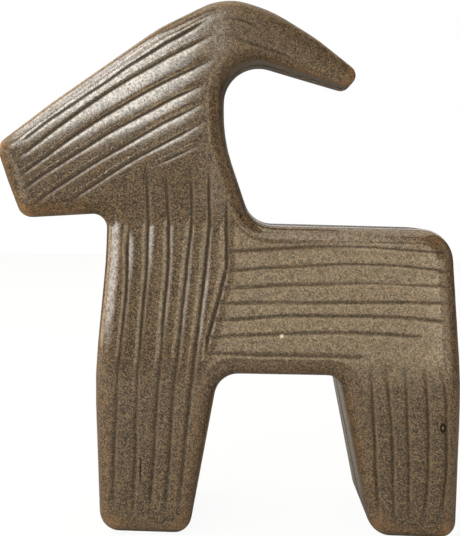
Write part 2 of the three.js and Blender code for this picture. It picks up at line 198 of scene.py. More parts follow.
def roundedOutline():  # x, z, the way inwards, rounding outside and at the seam
    corners = list(goatOutline["corners"].values())
    places = [np.array(corner[:2], float) for corner in corners]
    bends, sides, reaches = [], [], []
    for index, (_, _, radius, seam) in enumerate(corners):
        arrive = places[index] - places[index - 1]
        leave = places[(index + 1) % len(places)] - places[index]
        side = np.linalg.norm(leave)
        arrive, leave = arrive / np.linalg.norm(arrive), leave / side
        turn = math.atan2(arrive[0] * leave[1] - arrive[1] * leave[0], float(arrive @ leave))
        bends.append([places[index], arrive, turn, radius, seam])
        sides.append(side)
        reaches.append(radius * math.tan(abs(turn) / 2))
    shares = []  # of its radius that each side leaves a corner
    for index, side in enumerate(sides):
        needed = reaches[index] + reaches[(index + 1) % len(reaches)]
        shares.append(min(1, goatOutline["room"] * side / needed))
    rounded = []
    for index, (place, arrive, turn, radius, seam) in enumerate(bends):
        share = min(shares[index], shares[index - 1])
        radius, reach, way = radius * share, reaches[index] * share, math.copysign(1, turn)
        toCentre = np.array([-arrive[1], arrive[0]]) * way
        centre = place - arrive * reach + toCentre * radius
        rounding = halfShape["edgeRounding"]
        if way > 0:
            rounding = min(rounding, halfShape["roundingShare"] * radius)
        steps = max(2, math.ceil(abs(turn) / goatOutline["turnStep"]))
        for step in range(steps + 1):
            angle = turn * step / steps
            spoke = np.array([
                -toCentre[0] * math.cos(angle) + toCentre[1] * math.sin(angle),
                -toCentre[0] * math.sin(angle) - toCentre[1] * math.cos(angle),
            ])
            rounded.append([*(centre + spoke * radius), *(-way * spoke), rounding, seam])
    rounded = np.array(rounded)
    even = []
    for here, there in zip(rounded, np.roll(rounded, -1, axis=0)):
        parts = max(1, math.ceil(np.linalg.norm(there[:2] - here[:2]) / goatOutline["straightStep"]))
        even += [here + (there - here) * part / parts for part in range(parts)]
    even = np.array(even)
    even[:, 2:4] /= np.linalg.norm(even[:, 2:4], axis=1)[:, None]
    return even


outline = roundedOutline()
middleX = (outline[:, 0].min() + outline[:, 0].max()) / 2


def halfWidthAt(z):
    lean = (halfShape["soleHalfWidth"] - halfShape["crownHalfWidth"]) / halfShape["crownHeight"]
    return halfShape["soleHalfWidth"] - lean * z


def halfRings():  # from the seam out to the leaning face: x, distance from the seam plane, z
    rings = []
    x, z, inX, inZ, rounding, seam = outline.T
    turns = np.linspace(0, math.pi / 2, halfShape["arcPoints"] + 1)
    for turn in turns:
        inset = seam * (1 - math.sin(turn))
        away = halfShape["seamAway"] + seam * (1 - math.cos(turn))
        rings.append([x + inX * inset, away, z + inZ * inset])
    for turn in turns:
        inset = rounding * (1 - math.cos(turn))
        ringZ = z + inZ * inset
        rings.append([x + inX * inset, halfWidthAt(ringZ) - rounding * (1 - math.sin(turn)), ringZ])
    return rings


def addHalfBlock(name, side):  # a flat grid, bent round into the rings and closed at both ends
    rings = halfRings()
    columns = len(outline)
    bpy.ops.mesh.primitive_grid_add(x_subdivisions=columns, y_subdivisions=len(rings) - 1, size=0.2)
    block = bpy.context.object
    block.name = name
    places = []
    for x, away, z in rings:
        ring = np.stack([x - middleX, side * away, z], axis=1)
        places.append(np.vstack([ring, ring[:1]]))
    movePoints(block, np.vstack(places) * mm)
    bpy.ops.object.mode_set(mode="EDIT")
    bpy.ops.mesh.select_all(action="SELECT")
    bpy.ops.mesh.remove_doubles(threshold=halfShape["weld"] * mm)
    bpy.ops.mesh.select_all(action="DESELECT")
    bpy.ops.mesh.select_mode(type="EDGE")
    bpy.ops.mesh.select_non_manifold(extend=False)
    bpy.ops.mesh.fill_holes(sides=0)
    bpy.ops.mesh.select_all(action="SELECT")
    bpy.ops.mesh.normals_make_consistent(inside=False)
    bpy.ops.object.mode_set(mode="OBJECT")
    return block


def boreVent(block):
    height = ventHole["top"] - ventHole["z"]
    bpy.ops.mesh.primitive_cylinder_add(
        vertices=ventHole["sides"],
        radius=ventHole["diameter"] / 2 * mm,
        depth=height * mm,
        location=((ventHole["x"] - middleX) * mm, ventHole["y"] * mm, (ventHole["z"] + height / 2) * mm),
    )
    bore = bpy.context.object
    placeInMesh(bore)
    applyModifier(block, "BOOLEAN", operation="DIFFERENCE", object=bore, solver="EXACT")
    bpy.data.objects.remove(bore, do_unlink=True)


# Carved grooves: the solids' lines in a finer form, and two faint ones that run on to the horn, in mm

headLines = [  # behind the snout's top and below it, ahead of the crown and below its height, bow, depth
    (8.6, -0.6, 3.6, 6.5, 1.7, 0.4),
    (8.8, 4.4, 3.5, 13.1, 3.1, 1.0),
    (9, 10.8, 3.4, 21.3, 2.9, 1.0),
    (9.2, 15.9, 6.4, 30, 2.2, 1.0),
    (14.4, 19.7, 6.4, 36.4, 1.6, 0.9),
    (26.1, 18.8, 6.4, 42.9, 1.1, 0.8),
    (55.2, 6.2, 6.4, 49.7, 0.3, 0.45),
]
hornLines = [  # points behind the crown and below its height, depth
    (((-2.6, 8.5), (1.6, 7), (4.9, 7.2), (8.3, 8.2), (11.2, 9.8), (17, 13.2)), 0.6),
    (((0.2, 13.4), (3.6, 13.3), (7.4, 14.8), (11.9, 16), (16.4, 17.6), (20.9, 18.8), (27, 21.2)), 0.8),
]
chestLines = [  # share of the way back at the neck, halfway and at the foot, rise above the chin, upper and lower depth
    (0.155, 0.19, 0.14, -3, 1.2, 0.45),
    (0.293, 0.344, 0.364, 17, 1.2, 0.45),
    (0.435, 0.508, 0.539, 16, 0.75, 0.75),
    (0.587, 0.637, 0.705, 17, 0.7, 1.0),
    (0.715, 0.773, 0.848, 18, 0.7, 1.1),
]
shoulderLine = [(-20, 39.8), (15, 40.2), (25, 38.2), (38, 34.6), (46, 33.2)]  # below the back, behind the toe
bodyLines = [  # share of the way down at the shoulder, halfway and at the rump, where it ends, depth
    (0.176, 0.135, 0.164, 1, 0.75),
    (0.309, 0.25, 0.285, 1, 0.8),
    (0.424, 0.378, 0.386, 1, 0.85),
    (0.525, 0.507, 0.495, 1, 0.9),
    (0.64, 0.594, 0.622, 1, 0.7),
    (0.756, 0.709, 0.737, 0.9, 0.6),
    (0.855, 0.863, 0.87, 0.66, 0.75),
]
rearLegLines = [  # share of the leg's width at its top, halfway and at the foot, depth
    (0.26, 0.193, 0.1, 0.8),
    (0.378, 0.349, 0.278, 0.95),
    (0.52, 0.502, 0.434, 0.9),
    (0.675, 0.684, 0.61, 0.8),
    (0.805, 0.858, 0.79, 0.65),
]

# Pairs are above or right of a line, then below or left; lit side 1 is the first of these, -1 the second.
# Pillow is the swell between lines; the share after it is how dark shade is painted into them, standing in for the
# shade in a carved line.
grooveKinds = {
    "head": {"halfWidth": (1.2, 1.2), "cut": 0.06, "pillow": 0.15, "paintedShade": 0.95, "litSide": -1,
             "bandReach": (1.8, 4.4), "startRun": 4},
    "horn": {"halfWidth": (0.9, 0.9), "cut": 0.1, "pillow": 0.05, "paintedShade": 0.62, "litSide": -1},
    "chest": {"halfWidth": (2.0, 0.9), "cut": 0.44, "pillow": 0.03, "paintedShade": 0.9, "litSide": 1},
    "shoulder": {"halfWidth": (1.7, 0.9), "cut": 0.38, "pillow": 0.03, "paintedShade": 1.0, "litSide": 1},
    "body": {"halfWidth": (0.8, 0.8), "cut": 0.05, "pillow": 0.01, "paintedShade": 0.58, "litSide": -1,
             "startRun": 2, "endRun": 5},
    "rearLeg": {"halfWidth": (0.9, 0.9), "cut": 0.08, "pillow": 0.02, "paintedShade": 0.68, "litSide": 1},
}
grooveStyle = {
    "points": 50,                         # to a line
    "shoulderDepths": (0.5, 1.0),         # at the top and lower down
    "deepening": (82, 97),                # heights between which chest and shoulder lines change depth
    "legPaintedShade": ((48, 80), (0.66, 1)),     # heights, and how much of their painted shade the chest's lines keep there
    "jawSwell": ((124, 142), (0.05, 1)),  # heights, and how far bands swell and the head's lines are cut there
    "neckShare": 0.25,     # how deep the chest's lines run on up the neck
    "pitch": 3.0,          # half the usual distance between two lines
    "farPitches": 3.0,     # farther from a line than this many, a point has no line
    "farBeside": 9.0,      # what such a point is given as its distance
    "margin": 8,           # how far around a line points are looked at
    "runOut": 9,           # length over which a line fades at its ends
    "leastRun": 0.1,       # share of its depth that it keeps there
    "wander": 0.22,
    "wanderLength": 9,
    "uneven": 0.12,        # share by which its depth varies
    "unevenLength": 16,
    "bodyStart": 0.4,      # behind the shoulder line
    "legStart": 4,         # above the arch
    "footMargin": 5,
    "edgeMargin": 0.5,
    "creaseReach": 1.7,    # beside a line, how far the glaze still treats as its groove
    "creaseFade": 0.8,
}
handWork = {
    "sunk": 0.06,            # mm, so that the swellings stay inside the solid's faces
    "breakHeight": 103,      # the neck's face falls back a little above the body's
    "breakDepth": 0.18,
    "breakLength": 6,
    "faceWave": 0.02,        # mm, slow unevenness of the broad faces
    "faceWaveLength": 30,
    "smallWave": 0.01,
    "smallWaveLength": 6,
    "facing": 0.72,          # how square to the side a point must be for the carver to reach it
    "facingGain": 1.4,
    "seamUncarved": 3,       # mm from the seam plane that the carver leaves alone
    "edgeScale": 0.26,       # mm of bulge that counts as a full edge
    "evenRounds": 14,
    "bulgeRounds": 3,
    "seamClear": 3,          # mm from the seam plane where no edge shows through the glaze
    "besideLimit": 4,        # mm beside a groove, all that the glaze asks for
    "thin": (10, 4),         # mm behind the muzzle where thin, dull glaze begins, and where it is full
    "underChin": ((102.5, 103.5), (112, 108), (9, 6)),  # the same under the chin: from below, above and behind
    "satin": ((25, 45), (104, 110)),                    # x and z where the horn's satin begins and is full
}


def throughThree(a, b, c, t):  # a curve through three values, at t = 0, 0.5 and 1
    return a + t * (-3 * a + 4 * b - c) + t * t * (2 * a - 4 * b + 2 * c)


def cornersAt(*names):
    return [goatOutline["corners"][name][:2] for name in names]


def followX(z, stops):  # x at these heights on a line through the stops
    stops = sorted((stop[1], stop[0]) for stop in stops)
    return np.interp(z, [stop[0] for stop in stops], [stop[1] for stop in stops])


def grooveLines():  # each carved line: its group, its points in mm, its depth at the top and lower down
    crown, snoutTop, chin, rump, heel = cornersAt("crown", "snoutTop", "chin", "rump", "frontHeel")
    back, belly, sole = [corner[1] for corner in cornersAt("neckFoot", "frontArch", "frontToe")]
    t = np.linspace(0, 1, grooveStyle["points"])
    lines = []
    for behind, drop, ahead, napeDrop, bow, depth in headLines:
        x = snoutTop[0] + behind + t * (crown[0] - ahead - snoutTop[0] - behind)
        startZ, endZ = snoutTop[1] - drop, halfShape["crownHeight"] - napeDrop
        lines.append(("head", x, startZ + t * (endZ - startZ) + bow * 4 * t * (1 - t), depth, depth))
    bottom = sole + grooveStyle["footMargin"]
    for neck, middle, foot, rise, topDepth, lowDepth in chestLines:
        z = chin[1] + rise + t * (bottom - chin[1] - rise)
        share = throughThree(neck, middle, foot, (back - z) / (back - bottom))
        front = followX(z, cornersAt("chin", "chestTop", "chestSwell", "frontToe"))
        rear = followX(z, cornersAt("frontHeel", "neckFoot"))
        lines.append(("chest", front + share * (rear - front), z, topDepth, lowDepth))
    stops = [(behind, back - drop) for drop, behind in shoulderLine]
    stops += [(float(followX(belly / 2, cornersAt("frontHeel", "frontArch"))), belly / 2), heel]
    z = back - shoulderLine[0][0] / 2 + t * (shoulderLine[0][0] / 2 - shoulderLine[-1][0])
    lines.append(("shoulder", followX(z, stops), z, *grooveStyle["shoulderDepths"]))
    height = back - belly
    for shoulder, middle, atRump, end, depth in bodyLines:
        startX = float(followX(back - height * shoulder, stops)) + grooveStyle["bodyStart"]
        share = t * end
        x = startX + share * (rump[0] - grooveStyle["edgeMargin"] - startX)
        lines.append(("body", x, back - height * throughThree(shoulder, middle, atRump, share), depth, depth))
    legTop = belly + grooveStyle["legStart"]
    for top, middle, foot, depth in rearLegLines:
        z = legTop + t * (bottom - legTop)
        front = followX(z, cornersAt("rearToe", "rearArch"))
        rear = followX(z, cornersAt("rearHeel", "rumpSwell", "rump"))
        lines.append(("rearLeg", front + throughThree(top, middle, foot, t) * (rear - front), z, depth, depth))
    for points, depth in hornLines:
        behind, drop = np.array(points).T
        x = crown[0] + behind[0] + t * (behind[-1] - behind[0])
        lines.append(("horn", x, halfShape["crownHeight"] - np.interp(x - crown[0], behind, drop), depth, depth))
    return lines


def slowWave(x, z, seed, length):  # unevenness that the hand leaves, the same for a seed each time
    total = np.zeros_like(x)
    for k in range(1, 5):
        across, up = math.sin(seed * 2.9 + k * 4.1), math.cos(seed * 1.3 + k * 2.7)
        total += np.sin((across * x + up * z) / length * (0.6 + 0.35 * k) * 2 + seed * 1.7 + k * 2.3) / k
    return total / 2


def fadeBetween(values, begins, full):
    return np.clip((values - begins) / (full - begins), 0, 1)


def besideLine(lineX, lineZ, pointX, pointZ):  # distance, place along it, its length, 1 left of its run or -1
    run = np.concatenate([[0], np.cumsum(np.hypot(np.diff(lineX), np.diff(lineZ)))])
    away, place, hand = np.full(pointX.shape, np.inf), np.zeros_like(pointX), np.ones_like(pointX)
    for k in range(len(lineX) - 1):
        stepX, stepZ = lineX[k + 1] - lineX[k], lineZ[k + 1] - lineZ[k]
        along = ((pointX - lineX[k]) * stepX + (pointZ - lineZ[k]) * stepZ) / (stepX**2 + stepZ**2)
        along = np.clip(along, 0, 1)
        gap = np.hypot(pointX - lineX[k] - along * stepX, pointZ - lineZ[k] - along * stepZ)
        better = gap < away
        away[better] = gap[better]
        hand[better] = np.sign(stepX * (pointZ - lineZ[k]) - stepZ * (pointX - lineX[k]))[better]
        place[better] = run[k] + along[better] * (run[k + 1] - run[k])
    return away, place, run[-1], hand


def carving(x, z, seed):  # mm cut in, mm swollen out, distance beside the nearest line, how strongly shade is painted along that line
    style, neck = grooveStyle, handWork["breakHeight"]
    cut, swell, depthHere = np.zeros_like(x), np.zeros_like(x), np.zeros_like(x)
    nearest, beside = np.full(x.shape, style["farPitches"]), np.full(x.shape, style["farBeside"])
    for index, (group, lineX, lineZ, topDepth, lowDepth) in enumerate(grooveLines()):
        kind, margin = grooveKinds[group], style["margin"]
        level = (z > lineZ.min() - margin) & (z < lineZ.max() + margin)
        near = np.where(level & (x > lineX.min() - margin) & (x < lineX.max() + margin))[0]
        pointX = x[near] + style["wander"] * slowWave(x[near], z[near], seed + index, style["wanderLength"])
        pointZ = z[near] + style["wander"] * slowWave(z[near], x[near], seed - index, style["wanderLength"])
        away, place, length, hand = besideLine(lineX, lineZ, pointX, pointZ)
        fadeIn = place / kind.get("startRun", style["runOut"])
        fadeOut = (length - place) / kind.get("endRun", style["runOut"])
        fade = np.clip(np.minimum(fadeIn, fadeOut) + style["leastRun"], 0, 1)
        uneven = fade * (1 + style["uneven"] * slowWave(pointX, pointZ, seed + 3 * index, style["unevenLength"]))
        strength = np.interp(pointZ, style["deepening"], (lowDepth, topDepth)) * uneven
        reached = np.interp(pointZ, *style["jawSwell"]) if group == "head" else np.ones_like(strength)
        if group in ("chest", "shoulder"):
            reached -= (1 - style["neckShare"]) * fadeBetween(z[near], neck - 1, neck + 1)
        shape = (1 + (away / np.where(hand > 0, *kind["halfWidth"])) ** 2) ** -2
        cut[near] = np.maximum(cut[near], strength * reached * shape * kind["cut"])
        above, below = kind.get("bandReach", (style["pitch"], style["pitch"]))
        spacing = away / np.where(hand > 0, above, below)
        nearer = spacing < nearest[near]
        here = near[nearer]
        nearest[here] = spacing[nearer]
        beside[here] = (kind["litSide"] * hand * away)[nearer]
        legPaintedShade = np.interp(pointZ, *style["legPaintedShade"]) if group == "chest" else np.ones_like(pointZ)
        depthHere[here] = (uneven * (kind["paintedShade"] * legPaintedShade))[nearer]
        rest = 1 - np.clip(spacing, 0, 1)
        rise = (1 - rest**2) * strength * kind["pillow"] * np.interp(pointZ, *style["jawSwell"])
        swell[here] = rise[nearer]
    return cut, swell, beside, depthHere


def maskGlaze(piece, x, z, facing, beside, depth):  # what the glaze follows on the carved face
    signed = piece.data.attributes.new("besideGroove", "FLOAT", "POINT")
    limit = handWork["besideLimit"]
    signed.data.foreach_set("value", np.clip(beside, -limit, limit).astype(np.float32))
    reach = np.clip((grooveStyle["creaseReach"] - np.abs(beside)) / grooveStyle["creaseFade"], 0, 1)
    paintMask(piece, "grooveDepth", facing * depth * reach)
    muzzle = followX(z, cornersAt("snoutTop", "muzzle", "snoutUnderside"))
    fromBelow, fromAbove, fromBehind = handWork["underChin"]
    underChin = fadeBetween(z, *fromBelow) * fadeBetween(z, *fromAbove) * fadeBetween(x, *fromBehind)
    paintMask(piece, "thinGlaze", np.maximum(fadeBetween(x - muzzle, *handWork["thin"]), underChin))
    satin = fadeBetween(x, *handWork["satin"][0])
    paintMask(piece, "satinGlaze", satin**2 * (3 - 2 * satin) * fadeBetween(z, *handWork["satin"][1]))


def carveHalf(piece, seed):
    points = pointsOf(piece) / mm
    x, side, z = points[:, 0] + middleX, np.sign(points[:, 1].mean()), points[:, 2]
    away, seam, ease = np.abs(points[:, 1]), halfShape["seamAway"], halfShape["hornEase"]
    onHorn = fadeBetween(x, halfShape["hornStart"], halfShape["hornEnd"])
    onHorn[z < halfShape["hornFloor"]] = 0
    onHorn = onHorn**2 * (1 + ease) / (onHorn + ease)
    away = seam + (away - seam) * (1 - onHorn * halfShape["hornThinning"] / halfWidthAt(z))
    points[:, 1] = side * away
    movePoints(piece, points * mm)
    square = (np.abs(normalsOf(piece)[:, 1]) - handWork["facing"]) / (1 - handWork["facing"])
    facing = np.clip(square * handWork["facingGain"], 0, 1)
    facing[away < handWork["seamUncarved"]] = 0
    cut, swell, beside, depth = carving(x, z, seed)
    wave = handWork["faceWave"] * slowWave(x, z, seed + 40, handWork["faceWaveLength"])
    wave += handWork["smallWave"] * slowWave(x + away, z - away, seed + 80, handWork["smallWaveLength"])
    above = np.maximum(z - handWork["breakHeight"], 0) / handWork["breakLength"]
    fall = handWork["breakDepth"] * (1 - np.exp(-above))
    points[:, 1] -= side * facing * (cut - swell + wave + fall + handWork["sunk"])
    points[away < seam + halfShape["seamTrim"], 1] = side * seam
    movePoints(piece, points * mm)
    maskGlaze(piece, x, z, facing, beside, depth)


def findEdges(piece):  # bulge of each point against its neighbourhood: + on edges, - in hollows
    points, normals = pointsOf(piece) / mm, normalsOf(piece)
    even = np.stack([neighbourMean(piece, points[:, axis], handWork["evenRounds"]) for axis in range(3)], axis=1)
    bulge = ((points - even) * normals).sum(axis=1)
    return neighbourMean(piece, bulge, handWork["bulgeRounds"])


def closeSeamFace(piece, side):  # the flat face on the joint becomes one face
    pickOnly(piece)
    faces = piece.data.polygons
    centres = np.empty(len(faces) * 3, dtype=np.float32)
    faces.foreach_get("center", centres)
    offSeam = np.abs(centres.reshape(-1, 3)[:, 1] - side * halfShape["seamAway"] * mm)
    bpy.ops.object.mode_set(mode="EDIT")
    bpy.ops.mesh.select_mode(type="FACE")
    bpy.ops.mesh.select_all(action="DESELECT")
    bpy.ops.object.mode_set(mode="OBJECT")
    faces.foreach_set("select", offSeam < halfShape["seamFlat"] * mm)
    bpy.ops.object.mode_set(mode="EDIT")
    bpy.ops.mesh.dissolve_faces()
    bpy.ops.object.mode_set(mode="OBJECT")


def makeHalf(name, node, side, seed, vented):
    pickNothing()
    half = addHalfBlock(name, side)
    if vented:
        boreVent(half)
    applyModifier(half, "REMESH", mode="VOXEL", voxel_size=halfShape["voxel"] * mm, adaptivity=0)
    applyModifier(half, "SMOOTH", factor=halfShape["smoothingShare"], iterations=halfShape["smoothing"])
    carveHalf(half, seed)
    awayFromSeam = np.clip(np.abs(pointsOf(half)[:, 1]) / mm - handWork["seamClear"], 0, 1)
    paintMask(half, "edgeMask", findEdges(half) / handWork["edgeScale"] * awayFromSeam)
    closeSeamFace(half, side)
    pickOnly(half)
    bpy.ops.object.shade_smooth()
    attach(half, "root")
    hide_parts(node)
    triangles = sum(len(face.vertices) - 2 for face in half.data.polygons)
    print(name, "is carved,", triangles, "triangles")
    return half


leftHalf = makeHalf("leftHalf", "left_half_shell", side=-1, seed=3, vented=False)
rightHalf = makeHalf("rightHalf", "right_half_shell", side=1, seed=8, vented=True)


# Felt pads under the four feet; each fills its recess, so only the lower part is modelled

feltPad = {"radius": 6, "height": 0.66, "rounding": 0.2, "roundingSteps": 3, "sides": 48,
           "smoothBelow": 40}  # mm and degrees


def makePad(node):
    low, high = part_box(node)
    pickNothing()
    bpy.ops.mesh.primitive_cylinder_add(
        vertices=feltPad["sides"],
        radius=feltPad["radius"] * mm,
        depth=feltPad["height"] * mm,
        location=((low[0] + high[0]) / 2, (low[1] + high[1]) / 2, feltPad["height"] / 2 * mm),
    )
    pad = bpy.context.object
    pad.name = "felt_" + node
    placeInMesh(pad)
    bpy.ops.object.mode_set(mode="EDIT")
    bpy.ops.mesh.select_all(action="SELECT")
    bpy.ops.mesh.bevel(offset=feltPad["rounding"] * mm, segments=feltPad["roundingSteps"], affect="EDGES")
    bpy.ops.object.mode_set(mode="OBJECT")
    bpy.ops.object.shade_smooth_by_angle(angle=math.radians(feltPad["smoothBelow"]))
    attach(pad, "root")
    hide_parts(node)
    return pad


pads = [makePad(node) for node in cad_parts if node.endswith("foot_pad")]
print(len(pads), "felt pads lie under the feet")


# Materials


def newMaterial(name):
    material = bpy.data.materials.new(name)
    material.use_nodes = True
    return material, material.node_tree, material.node_tree.nodes["Principled BSDF"]


def feed(tree, socket, value):  # another node's output, or a plain value
    if isinstance(value, bpy.types.NodeSocket):
        tree.links.new(value, socket)
    else:
        socket.default_value = value


def addNode(tree, kind, inputs=None, **settings):
    node = tree.nodes.new(kind)
    for key, value in settings.items():
        setattr(node, key, value)
    for key, value in (inputs or {}).items():
        feed(tree, node.inputs[key], value)
    return node


def mixColours(tree, share, first, second):  # 0, 6 and 7 are a colour mix's share and colours, 2 what comes out
    return addNode(tree, "ShaderNodeMix", {0: share, 6: first, 7: second}, data_type="RGBA").outputs[2]


def rangeOf(tree, value, low, high, toLow=0.0, toHigh=1.0, smooth=False):
    given = {"Value": value, "From Min": low, "From Max": high, "To Min": toLow, "To Max": toHigh}
    way = "SMOOTHSTEP" if smooth else "LINEAR"
    return addNode(tree, "ShaderNodeMapRange", given, interpolation_type=way).outputs["Result"]


def calculate(tree, operation, first, second):
    return addNode(tree, "ShaderNodeMath", {0: first, 1: second}, operation=operation).outputs[0]


def calculateVector(tree, operation, *vectors):
    return addNode(tree, "ShaderNodeVectorMath", dict(enumerate(vectors)), operation=operation).outputs


def times(tree, first, second):
    return calculate(tree, "MULTIPLY", first, second)


def addNoise(tree, place, scale, detail, **more):
    return addNode(tree, "ShaderNodeTexNoise", {"Vector": place, "Scale": scale, "Detail": detail, **more}).outputs[0]


def addCells(tree, place, scale):  # distance from a cell's middle, and the cell's three random numbers
    cells = addNode(tree, "ShaderNodeTexVoronoi", {"Vector": place, "Scale": scale, "Randomness": 1.0}).outputs
    return cells["Distance"], addNode(tree, "ShaderNodeSeparateColor", {0: cells["Color"]}).outputs


def addBump(tree, relief, distance):
    return addNode(tree, "ShaderNodeBump", {"Height": relief, "Distance": distance}).outputs[0]


def readMask(tree, name):
    return addNode(tree, "ShaderNodeAttribute", attribute_name=name).outputs["Fac"]


def objectPlace(tree):
    return addNode(tree, "ShaderNodeTexCoord").outputs["Object"]


def partOf(tree, place, axis):
    return addNode(tree, "ShaderNodeSeparateXYZ", {0: place}).outputs[axis]


def fromSrgb(red, green, blue):
    shades = []
    for shade in (red, green, blue):
        shade /= 255
        shades.append(shade / 12.92 if shade <= 0.04045 else ((shade + 0.055) / 1.055) ** 2.4)
    return (*shades, 1)


def newGroup(name, inputs, outputs):
    group = bpy.data.node_groups.new(name, "ShaderNodeTree")
    for label, kind in inputs:
        group.interface.new_socket(label, in_out="INPUT", socket_type=kind)
    for label, kind in outputs:
        group.interface.new_socket(label, in_out="OUTPUT", socket_type=kind)
    return group, group.nodes.new("NodeGroupInput").outputs, group.nodes.new("NodeGroupOutput").inputs


# Each grain has a random number for its kind: these pairs run from where a kind begins to where it is full
grainPattern = {
    "cloudScale": 60.0,         # per m, as are the others
    "cloudRoughness": 0.65,
    "cloudSpan": (0.36, 0.66),
    "fineScale": 3000.0,
    "fineLight": (0.45, 1.0),
    "fineDark": (0.5, 0.0),
    "coarseScale": 1900.0,
    "coarseKind": (0.6, 0.9),
    "rustKind": (0.2, 0.05),
    "dullKind": (0.2, 0.9),
    "dullGloss": 0.36,          # the coat that dull grains keep
    "coarseCore": (0.2, 0.6),   # from the full core of a coarse grain to its rim
    "cover": (0.75, 0.8, 0.8, 0.8, 0.6),        # fine light, fine dark, coarse light, coarse dark and rust
    "relief": ((1400.0, 0.08), (300.0, 0.35)),  # scale and share
    "sheen": (0.3, 0.7, 0.05, -0.04),           # change of roughness over the clouds
}
glazeShades = {"Base": "base", "Cloud": "cloud", "Light Grain": "lightGrain", "Dark Grain": "darkGrain",
               "Rust Grain": "rustGrain"}


def buildGlazeGrains():  # fine light and dark grains, cloudy tint and the glaze's own small relief
    look = grainPattern
    group, given, out = newGroup(
        "glazeGrains",
        [("Place", "NodeSocketVector"), *((name, "NodeSocketColor") for name in glazeShades),
         ("Amount", "NodeSocketFloat")],
        [("Colour", "NodeSocketColor"), ("Relief", "NodeSocketFloat"), ("Sheen Change", "NodeSocketFloat"),
         ("Gloss Share", "NodeSocketFloat")],
    )
    place, amount = given["Place"], given["Amount"]
    clouds = addNoise(group, place, look["cloudScale"], 5.0, Roughness=look["cloudRoughness"])
    kinds = addCells(group, place, look["fineScale"])[1]
    distance, coarseKinds = addCells(group, place, look["coarseScale"])
    core = rangeOf(group, distance, *look["coarseCore"], 1.0, 0.0, smooth=True)
    coarseDark = times(group, rangeOf(group, coarseKinds[1], *look["coarseKind"]), core)
    shares = (
        times(group, rangeOf(group, kinds[0], *look["fineLight"]), amount),
        times(group, rangeOf(group, kinds[0], *look["fineDark"]), amount),
        times(group, rangeOf(group, coarseKinds[0], *look["coarseKind"]), core),
        coarseDark,
        times(group, rangeOf(group, coarseKinds[2], *look["rustKind"]), core),
    )
    shades = ("Light Grain", "Dark Grain", "Light Grain", "Dark Grain", "Rust Grain")
    colour = mixColours(group, rangeOf(group, clouds, *look["cloudSpan"], smooth=True), given["Base"], given["Cloud"])
    for share, cover, shade in zip(shares, look["cover"], shades):
        colour = mixColours(group, times(group, share, cover), colour, given[shade])
    relief = [times(group, addNoise(group, place, scale, 2.0), share) for scale, share in look["relief"]]
    dull = calculate(group, "MAXIMUM", rangeOf(group, coarseKinds[2], *look["dullKind"]), coarseDark)
    feed(group, out["Colour"], colour)
    feed(group, out["Relief"], calculate(group, "ADD", *relief))
    feed(group, out["Gloss Share"], rangeOf(group, times(group, dull, amount), 0.0, 1.0, 1.0, look["dullGloss"]))
    feed(group, out["Sheen Change"], rangeOf(group, clouds, *look["sheen"]))
    return group


glazeGrains = buildGlazeGrains()


def startGlaze(name, look):  # grains and roughness, as both glazes have them
    material, tree, shader = newMaterial(name)
    place = objectPlace(tree)
    grains = addNode(tree, "ShaderNodeGroup", node_tree=glazeGrains)
    feed(tree, grains.inputs["Place"], place)
    for key, shade in glazeShades.items():
        grains.inputs[key].default_value = fromSrgb(*look[shade])
    grains.inputs["Amount"].default_value = look["grains"]
    feed(tree, shader.inputs["Roughness"], calculate(tree, "ADD", grains.outputs["Sheen Change"], look["roughness"]))
    return material, tree, shader, place, grains.outputs


stonewareGlaze = {
    "base": (58, 46, 32),
    "cloud": (52, 42, 31),
    "lightGrain": (120, 102, 75),
    "darkGrain": (23, 17, 11),
    "rustGrain": (138, 92, 54),
    "grains": 0.95,
    # painted shade: dark colour along the middle of each carved line, standing in for the shade inside it
    "paintedGrooveShade": (38, 28, 17),
    "paintedGrooveShadeShare": 0.9,
    "creaseWidth": 0.85,      # mm
    "creaseDepth": 0.06,
    "dryCrease": (0.2, 0.75),  # from where a groove begins to lose its coat to where it has least
    "creaseGloss": 0.05,
    "rim": (124, 106, 80),    # painted highlight: paler colour over the lit side of a line
    "litSideHighlightShare": 0.42,
    "litSideHighlightSpan": (0.45, 0.9, 1.1, 1.8),  # mm from the line: begins, full, still full, gone
    "edge": (146, 108, 70),
    "edgeSpan": (0.2, 1.0),
    "edgePatches": (0.3, 0.6, 0.2, 0.65),  # a noise's span, and how much of the edge shows over it
    "patchScale": 350.0,      # per m
    "sole": (58, 46, 33),
    "soleShare": 0.7,
    "soleSpan": (0.8, 3.5),   # mm above the floor: full, gone
    "roughness": 0.45,
    "specular": 0.15,
    "relief": 0.02,           # mm
    "coatIor": 1.85,
    "coatRoughness": 0.1,
    "satinRoughness": 0.36,   # on the horn
    "satinGloss": 0.5,
    "thinGloss": 0.15,
    "brokenGloss": 0.1,       # in a pinhole or crack
    "markFade": 4,            # mm before the seam plane over which the marks below fade
}

# Marks on the left half, in mm: x and z of the middle, half width and height, core and rim in half widths
glazeMarks = {
    "speck": {"middle": (18.4, 66.3), "half": (0.9, 0.9), "span": (0.3, 1.0), "share": 0.9, "colour": (186, 174, 154)},
    # the pinhole's dark pit is painted shade, as no hole is cut
    "pinhole": {"middle": (72.0, 37.2), "half": (1.2, 1.8), "span": (0.7, 1.0), "share": 1.0, "colour": (8, 5, 3)},
    # painted glint: a pale spot in the pinhole's middle, standing in for light caught in it
    "pinholeGlint": {"middle": (72.0, 37.2), "half": (1.2, 1.8), "span": (0.25, 0.4), "share": 0.9, "colour": (100, 84, 62)},
    "crack": {"middle": (-27.4, 21.7), "half": (0.35, 5.5), "span": (0.5, 1.0), "share": 0.9, "colour": (16, 11, 7)},
}


